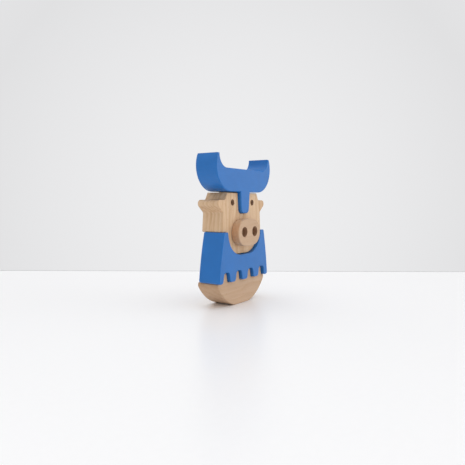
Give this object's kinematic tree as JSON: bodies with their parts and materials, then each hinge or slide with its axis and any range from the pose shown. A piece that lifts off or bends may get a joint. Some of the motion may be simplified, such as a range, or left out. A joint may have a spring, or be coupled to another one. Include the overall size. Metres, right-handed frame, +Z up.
{
  "type": "stacking wooden figure",
  "caption": "Free-standing figure of a pig in a horned helmet and a tunic, cut from flat wooden boards that stack in jigsaw joints and lift apart.",
  "frame": {"origin": "centre of the flat foot, in the plane the figure stands on, midway through the base board's thickness", "axes": "+Z up, the face looks along -Y, and +X is to the right of someone facing it"},
  "size_m": [0.0754, 0.0245, 0.11],
  "materials": {
    "blue_paint": "satin paint on wood, edges softly sanded",
    "pale_wood": "bare pale hardwood, sanded, fine grain",
    "bare_wood": "bare mid-brown hardwood, sanded, fine grain",
    "dowel_wood": "bare turned dowel"
  },
  "bodies": {
    "base": {"base": "bare_wood", "base_peg_left": "dowel_wood", "base_peg_right": "dowel_wood"},
    "tunic": {"tunic": "blue_paint", "neck_peg": "dowel_wood"},
    "head": {"head": "pale_wood", "snout": "bare_wood", "snout_pin_upper": "dowel_wood", "snout_pin_lower": "dowel_wood", "crown_peg_left": "dowel_wood", "crown_peg_right": "dowel_wood"},
    "helmet": {"helmet": "blue_paint"}
  },
  "joints": [
    {"name": "tunic_lift", "type": "slide", "parent": "base", "child": "tunic", "axis": [0, 0, 1], "range_m": [0, 0.015]},
    {"name": "head_lift", "type": "slide", "parent": "tunic", "child": "head", "axis": [0, 0, 1], "range_m": [0, 0.022]},
    {"name": "helmet_lift", "type": "slide", "parent": "head", "child": "helmet", "axis": [0, 0, 1], "range_m": [0, 0.02]}
  ]
}
